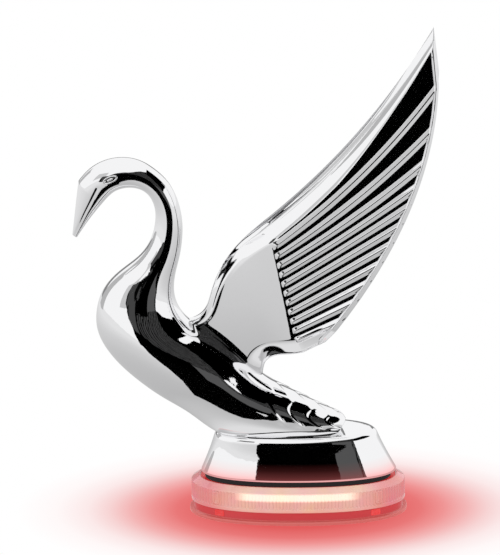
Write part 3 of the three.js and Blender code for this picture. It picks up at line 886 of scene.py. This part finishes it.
# ---------------- light base
# Closed sections of the lens and the tray: [inset from the base's oval, height].
LENS_PROFILE = [
    [0.6, 4.8], [0.6, 6.2], [0.6, 11.6], [3.3, 13.4], [3.7, 13.4], [3.9, 12.4],
    [7.5, 12.4], [7.5, 10.9], [3.1, 10.9], [2.5, 10.3], [2.5, 4.8],
]
FLUTES, FLUTE_SAMPLES, FLUTE_DEPTH = 146, 8, 0.45
FLUTED = (6.2, 11.6)  # heights between which the wall has flutes
# The red glow of the lens's inner faces is painted, by their material.
INNER_INSET = 3.75  # the lens further in than this glows red
TRAY_PROFILE = [
    [0, 0.6], [0, 1.3], [0.3, 1.6], [1.5, 1.6], [1.5, 4.5], [3.3, 4.5],
    [3.3, 3.0], [14.0, 3.0], [14.0, 1.6], [2.4, 1.6], [2.4, 0.3], [0.3, 0.3],
]
GASKET_WIDTH = 3.2
SNAP_X = 28.5  # how far from the middle the snaps stand


def lens_rows():
    """The lens's profile, with more rows on its fluted wall and on its sloping shoulder."""
    rows = []
    corners = rounded(LENS_PROFILE, 0.35)
    for a, b in zip(corners, corners[1:] + corners[:1]):
        rows.append(a)
        if abs(a[1] - b[1]) > 2 and a[0] < 1:
            rows += [a + (b - a) * share for share in (0.04, 0.3, 0.5, 0.7, 0.96)]
        if a[0] < 3 and b[0] > 3 and a[1] > 11:
            rows += [a + (b - a) * share for share in (0.25, 0.5, 0.75)]
    return rows


def make_lens(clear, painted_red_glow_plastic):
    """The lens ring, fluted outside, with a painted red glow on its inside."""
    count = FLUTES * FLUTE_SAMPLES
    rows = lens_rows()

    def flute(rings):
        wave = 0.5 - 0.5 * np.cos(2 * np.pi * np.arange(count) / FLUTE_SAMPLES)
        for i, (inset, z) in enumerate(rows):
            if inset < 1.0 and FLUTED[0] < z < FLUTED[1]:
                from_middle = np.linalg.norm(rings[i, :, :2], axis=1)
                rings[i, :, :2] *= (1 - FLUTE_DEPTH * wave / from_middle)[:, None]
        return rings

    lens = oval_ring("fluted_lens", rows, count, flute)
    finish_piece(lens, clear, "clear_lens", "lens_ring")
    lens.data.materials.append(painted_red_glow_plastic)
    inner = [inset > INNER_INSET for inset, _ in rows]
    for polygon in lens.data.polygons:
        if all(inner[v // count] for v in polygon.vertices):
            polygon.material_index = 1
    lens.visible_glossy = False


def make_tray(material):
    """The clear tray under the lens, with its flange."""
    tray = oval_ring("clear_tray", rounded(TRAY_PROFILE, 0.15, 3), 360)
    finish_piece(tray, material, "clear_lens", "base_tray")
    tray.visible_glossy = False


def make_gasket(material):
    low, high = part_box("foot_gasket")
    outside = OVAL[0] - high.x / MM
    inside = outside + GASKET_WIDTH
    z0, z1 = low.z / MM, high.z / MM
    profile = [[outside, z0], [outside, z1], [inside, z1], [inside, z0]]
    gasket = oval_ring("rubber_gasket", rounded(profile, 0.3), 300)
    return finish_piece(gasket, material, "black_rubber", "foot_gasket")


def wall_frame(x, side, inset):
    """The point of the oval wall at x on one side, with its outward and sideways directions."""
    half_x, half_y = OVAL[0] - inset, OVAL[1] - inset
    y = side * half_y * (1 - (abs(x) / half_x) ** SQUARENESS) ** (1 / SQUARENESS)
    out_x = math.copysign((abs(x) / half_x) ** (SQUARENESS - 1) / half_x, x)
    out_y = side * (abs(y) / half_y) ** (SQUARENESS - 1) / half_y
    out = Vector((out_x, out_y, 0)).normalized()
    return Vector((x, y, 0)), out, Vector((-out.y, out.x, 0))


def rounded_rectangle(width, height):
    """A rounded rectangle's outline as a squared-off oval."""
    power = 0.35
    row = []
    for angle in np.linspace(0, 2 * math.pi, 48, endpoint=False):
        c, s = math.cos(angle), math.sin(angle)
        across = math.copysign(abs(c) ** power, c) * width / 2
        up = math.copysign(abs(s) ** power, s) * height / 2
        row.append((across, up))
    return row


def make_snap(name, x, side, middle_z, inset, size, window, material):
    """A moulded frame on the wall: a rounded plate with a sunk window, which is a share of its width."""
    place, out, across = wall_frame(x, side, inset)
    width, height = size
    steps = [  # width, height, lift off the wall
        (width, height, -0.35),
        (width, height, 0.12),
        (width - 0.16, height - 0.16, 0.2),
        (window * width, height - 0.9, 0.2),
        (window * width - 0.14, height - 1.05, 0.05),
        (0.1, 0.4, 0.05),
    ]
    rings = []
    for w, h, lift in steps:
        ring = []
        for u, v in rounded_rectangle(w, h):
            point = place + across * u + out * lift
            ring.append((point.x, point.y, middle_z + v))
        rings.append(ring)
    snap = finish_piece(capped_loft(name, np.array(rings)), material, "clear_lens")
    snap.visible_glossy = False  # too small to tint the chrome above it


def make_snaps(clear, painted_red_glow_plastic):
    """Four snap frames on the lens's wall, and under each the catch it holds on the tray."""
    # The frames take the lens's painted glow; the catches take the painted red glow.
    for x in (-SNAP_X, SNAP_X):
        for side in (-1, 1):
            where = ("left" if side < 0 else "right") + ("_front" if x < 0 else "_rear")
            make_snap(where + "_snap_frame", x, side, 9.0, 0.6, (2.6, 4.6), 0.45, clear)
            make_snap(where + "_tray_catch", x * 0.96, side, 3.2, 1.5, (3.6, 2.3), 0.6, painted_red_glow_plastic)


# ---------------- inner pieces
def inner_materials():
    """Materials for the CAD pieces whose shapes are kept, by the start of their names."""
    steel = speckled(
        "zinc_plated_steel", (0.42, 0.44, 0.46), (0.62, 0.63, 0.64), 900, Metallic=1.0, Roughness=0.3
    )
    brass = speckled(
        "turned_brass", (0.66, 0.48, 0.2), (0.8, 0.62, 0.3), 700, Metallic=1.0, Roughness=0.22
    )
    foam = speckled("closed_cell_foam", (0.012, 0.012, 0.012), (0.04, 0.04, 0.04), 1800, Roughness=0.9)
    rubber = speckled("grommet_rubber", (0.01, 0.01, 0.01), (0.025, 0.025, 0.025), 1200, Roughness=0.65)
    board = speckled("solder_mask", (0.03, 0.17, 0.08), (0.05, 0.24, 0.12), 500, Roughness=0.35)
    led = speckled(
        "red_led",
        (0.7, 0.05, 0.04),
        (0.95, 0.15, 0.1),
        1500,
        Roughness=0.2,
        Emission_Color=(1.0, 0.05, 0.03, 1),
        Emission_Strength=2.0,
    )
    moulded = speckled(
        "moulded_component", (0.02, 0.02, 0.022), (0.05, 0.05, 0.055), 1500, Roughness=0.5
    )
    return {
        "left_wing_push_nut": steel,
        "right_wing_push_nut": steel,
        "threaded_insert": brass,
        "mounting_pad": foam,
        "wire_grommet": rubber,
        "circuit_board": board,
        "led_": led,
        "resistor": moulded,
        "polarity_diode": moulded,
    }


def dress_inner_pieces():
    """Gives the kept CAD pieces their better materials."""
    for start, material in inner_materials().items():
        for name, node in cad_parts.items():
            if name.startswith(start):
                node.data.materials.clear()
                node.data.materials.append(material)


# ---------------- studio
# The red glow on the floor is painted into its colour.
PAINTED_GLOW_REACH = 0.065
PAINTED_GLOW_STRETCH = 1.55  # how much longer the glow on the floor is than it is wide
# The floor's painted red glow outwards from the base: [distance in metres, red, green and blue].
PAINTED_FLOOR_GLOW = [
    (0.0185, 0.76, 0.109), (0.0278, 0.82, 0.19), (0.033, 0.87, 0.30), (0.038, 0.90, 0.46),
    (0.043, 0.93, 0.66), (0.048, 0.97, 0.82), (0.055, 1.0, 0.94), (0.064, 1.0, 1.0),
]


def light_of(material):
    """An emission shader as the whole of a material."""
    material.use_nodes = True
    nodes, links = material.node_tree.nodes, material.node_tree.links
    nodes.clear()
    out = nodes.new("ShaderNodeOutputMaterial")
    emit = nodes.new("ShaderNodeEmission")
    links.new(emit.outputs["Emission"], out.inputs["Surface"])
    return emit


def make_floor():
    """Pale floor with the red light of the base painted onto it, as a glow in its colour."""
    size, near = 3.0, -0.5
    corners = [(-size, near, 0), (size, near, 0), (size, size, 0), (-size, size, 0)]
    floor = new_object("floor", corners, [(0, 1, 2, 3)], smooth=False)
    floor.location.z = -0.0001
    material = bpy.data.materials.new("pale_floor_painted_red_glow")
    emit = light_of(material)
    nodes, links = material.node_tree.nodes, material.node_tree.links
    place = nodes.new("ShaderNodeTexCoord")
    squash = nodes.new("ShaderNodeMapping")
    squash.inputs["Scale"].default_value = (1 / PAINTED_GLOW_STRETCH, 1, 1)
    length = nodes.new("ShaderNodeVectorMath")
    length.operation = "LENGTH"
    scale = nodes.new("ShaderNodeMath")
    scale.operation = "DIVIDE"
    scale.inputs[1].default_value = PAINTED_GLOW_REACH
    ramp = nodes.new("ShaderNodeValToRGB")
    # Painted red glow: the floor's colour reddens towards the base.
    fill_ramp(ramp, [(at / PAINTED_GLOW_REACH, (red, rest, rest)) for at, red, rest in PAINTED_FLOOR_GLOW])
    links.new(place.outputs["Object"], squash.inputs["Vector"])
    links.new(squash.outputs["Vector"], length.inputs[0])
    links.new(length.outputs["Value"], scale.inputs[0])
    links.new(scale.outputs["Value"], ramp.inputs["Fac"])
    links.new(ramp.outputs["Color"], emit.inputs["Color"])
    floor.data.materials.append(material)


def add_streaks(material, emit, grey, share):
    """Thin black lines over a card, taking up about this share of it."""
    nodes, links = material.node_tree.nodes, material.node_tree.links
    place = nodes.new("ShaderNodeTexCoord")
    wave = nodes.new("ShaderNodeTexWave")
    wave.bands_direction = "DIAGONAL"
    wave.inputs["Scale"].default_value = 9
    wave.inputs["Distortion"].default_value = 5
    wave.inputs["Detail"].default_value = 3
    wave.inputs["Detail Scale"].default_value = 2
    ramp = nodes.new("ShaderNodeValToRGB")
    fill_ramp(ramp, [(share, [0.002] * 3), (share + 0.12, [grey] * 3)])
    links.new(place.outputs["Object"], wave.inputs["Vector"])
    links.new(wave.outputs["Fac"], ramp.inputs["Fac"])
    links.new(ramp.outputs["Color"], emit.inputs["Color"])


def light_only_in_reflections(piece, grey, streaks=0.0):
    """Gives a studio card its light, and hides the card from everything but reflections."""
    material = bpy.data.materials.new(piece.name)
    emit = light_of(material)
    emit.inputs["Color"].default_value = (grey, grey, grey, 1)
    if streaks:
        add_streaks(material, emit, grey, streaks)
    piece.data.materials.append(material)
    piece.visible_camera = False
    piece.visible_diffuse = False
    piece.visible_transmission = False
    piece.visible_shadow = False
    return material, emit


def flat_card(name, corners):
    """A card with one face; corners are [x, y, z] in metres."""
    return new_object(name, corners, [tuple(range(len(corners)))], smooth=False)


SHEET_HEIGHT, CLOTH_HEIGHT = 0.0002, 0.0004
# The white sheet's grey outwards from the ornament, by distance in metres.
SHEET_GREYS = [
    (0.0, 0.84), (0.035, 0.80), (0.048, 0.60), (0.065, 0.52),
    (0.10, 0.56), (0.16, 0.64), (0.35, 0.76), (0.60, 0.84),
]
# A dark cloth on the floor in front of the ornament, as [x, y].
CLOTH = [
    (-0.048, -0.052), (-0.012, -0.058), (0.0, -0.067), (0.03, -0.106), (0.067, -0.20),
    (0.157, -0.30), (0.35, -0.45), (0.55, -0.62), (0.50, -0.74), (-0.24, -0.74),
    (-0.17, -0.49), (-0.118, -0.29), (-0.088, -0.21), (-0.068, -0.16), (-0.053, -0.10),
]
# A small dark card standing in front of the swan's breast, as [x, z].
LEFT_CARD_Y = -0.12
LEFT_CARD = [
    (-0.077, 0.084), (-0.097, 0.088), (-0.117, 0.104), (-0.123, 0.128),
    (-0.120, 0.143), (-0.080, 0.126), (-0.066, 0.118), (-0.066, 0.086),
]


def white_sheet():
    """The sheet round the ornament, as its chrome sees it: darkest a hand's width from the middle."""
    size = 2.0
    corners = [(x * size, y * size, SHEET_HEIGHT) for x, y in ((-1, -1), (1, -1), (1, 1), (-1, 1))]
    material, emit = light_only_in_reflections(flat_card("white_sheet_card", corners), 0.84)
    nodes, links = material.node_tree.nodes, material.node_tree.links
    place = nodes.new("ShaderNodeTexCoord")
    length = nodes.new("ShaderNodeVectorMath")
    length.operation = "LENGTH"
    ramp = nodes.new("ShaderNodeValToRGB")
    fill_ramp(ramp, [(at, [grey] * 3) for at, grey in SHEET_GREYS])
    links.new(place.outputs["Object"], length.inputs[0])
    links.new(length.outputs["Value"], ramp.inputs["Fac"])
    links.new(ramp.outputs["Color"], emit.inputs["Color"])


STUDIO_MIDDLE = np.array([-0.02, 0.0, 0.08])


def arc_card(name, radius, grey, edges, streaks=0.0):
    """A card bent round the ornament. Edges are [azimuth, low, high] in degrees, 0 towards the camera."""
    edges = np.array(edges, float)
    azimuth = np.linspace(edges[0, 0], edges[-1, 0], int(abs(edges[-1, 0] - edges[0, 0]) / 2) + 2)
    low = np.interp(azimuth, edges[:, 0], edges[:, 1])
    high = np.interp(azimuth, edges[:, 0], edges[:, 2])
    turn = np.radians(azimuth)
    rows = []
    for share in np.linspace(0, 1, 13):
        up = np.radians(low + (high - low) * share)
        away = np.stack([np.sin(turn) * np.cos(up), -np.cos(turn) * np.cos(up), np.sin(up)], axis=1)
        rows.append(STUDIO_MIDDLE + radius * away)
    faces = grid_faces(len(rows), len(azimuth), wrap_columns=False)
    card = new_object(name, np.concatenate(rows), faces, smooth=False)
    light_only_in_reflections(card, grey, streaks)


def make_cards():
    """The dark and grey things that the chrome mirrors, nearer ones in front of farther ones."""
    white_sheet()
    cloth = flat_card("black_cloth_card", [(x, y, CLOTH_HEIGHT) for x, y in CLOTH])
    light_only_in_reflections(cloth, 0.0)
    arc_card("black_stand_card", 0.69, 0.0, [(-18, -10, 8), (-13, -10, 8), (0, -10, 9), (19, -10, 12)])
    arc_card("grey_card", 0.70, 0.09, [(19, -10, 9), (37, -10, 9)])
    arc_card("right_card", 0.72, 0.055, [
        (-16, -10, 9), (-13, -10, 13), (-8, -10, 15), (0, -10, 18),
        (10, -10, 30), (20, -10, 38), (30, -10, 44), (41, -10, 46),
    ], streaks=0.3)
    arc_card("high_card", 0.74, 0.0, [
        (41, 9, 46), (47, 11, 47), (54, 16, 48), (62, 19, 50), (75, 22, 53), (96, 26, 54),
    ])
    arc_card("side_card", 0.8, 0.25, [(-200, -6, 16), (-150, -6, 16), (-128, -2, 8)])
    arc_card("far_side_card", 0.82, 0.5, [(-128, -8, 34), (-98, -4, 34)])
    arc_card("flank_card", 0.84, 0.62, [(-43, 8, 26), (-23, 8, 24)])
    left = flat_card("near_left_card", [(x, LEFT_CARD_Y, z) for x, z in LEFT_CARD])
    light_only_in_reflections(left, 0.06, streaks=0.3)


def make_studio():
    """White light from all round, the floor, and the cards."""
    world = bpy.data.worlds.new("studio")
    bpy.context.scene.world = world
    world.use_nodes = True
    world.node_tree.nodes["Background"].inputs["Color"].default_value = (1, 1, 1, 1)
    world.node_tree.nodes["Background"].inputs["Strength"].default_value = 1.0
    bpy.context.scene.view_settings.view_transform = "Standard"
    make_floor()
    make_cards()


# ---------------- assembly
make_camera()
chrome = chrome_material()
clear = clear_material()
painted_red_glow_plastic = painted_red_glow_material()
body = make_swan_body(chrome)
make_eyes(body, chrome)
make_foot(chrome_with_painted_red_light())
make_wing("left_wing_casting", -1, chrome)
make_wing("right_wing_casting", 1, chrome)
make_lens(clear, painted_red_glow_plastic)
make_tray(tray_material())
make_snaps(clear, painted_red_glow_plastic)
make_gasket(rubber_material("gasket_rubber", 0.012))
dress_inner_pieces()
make_studio()
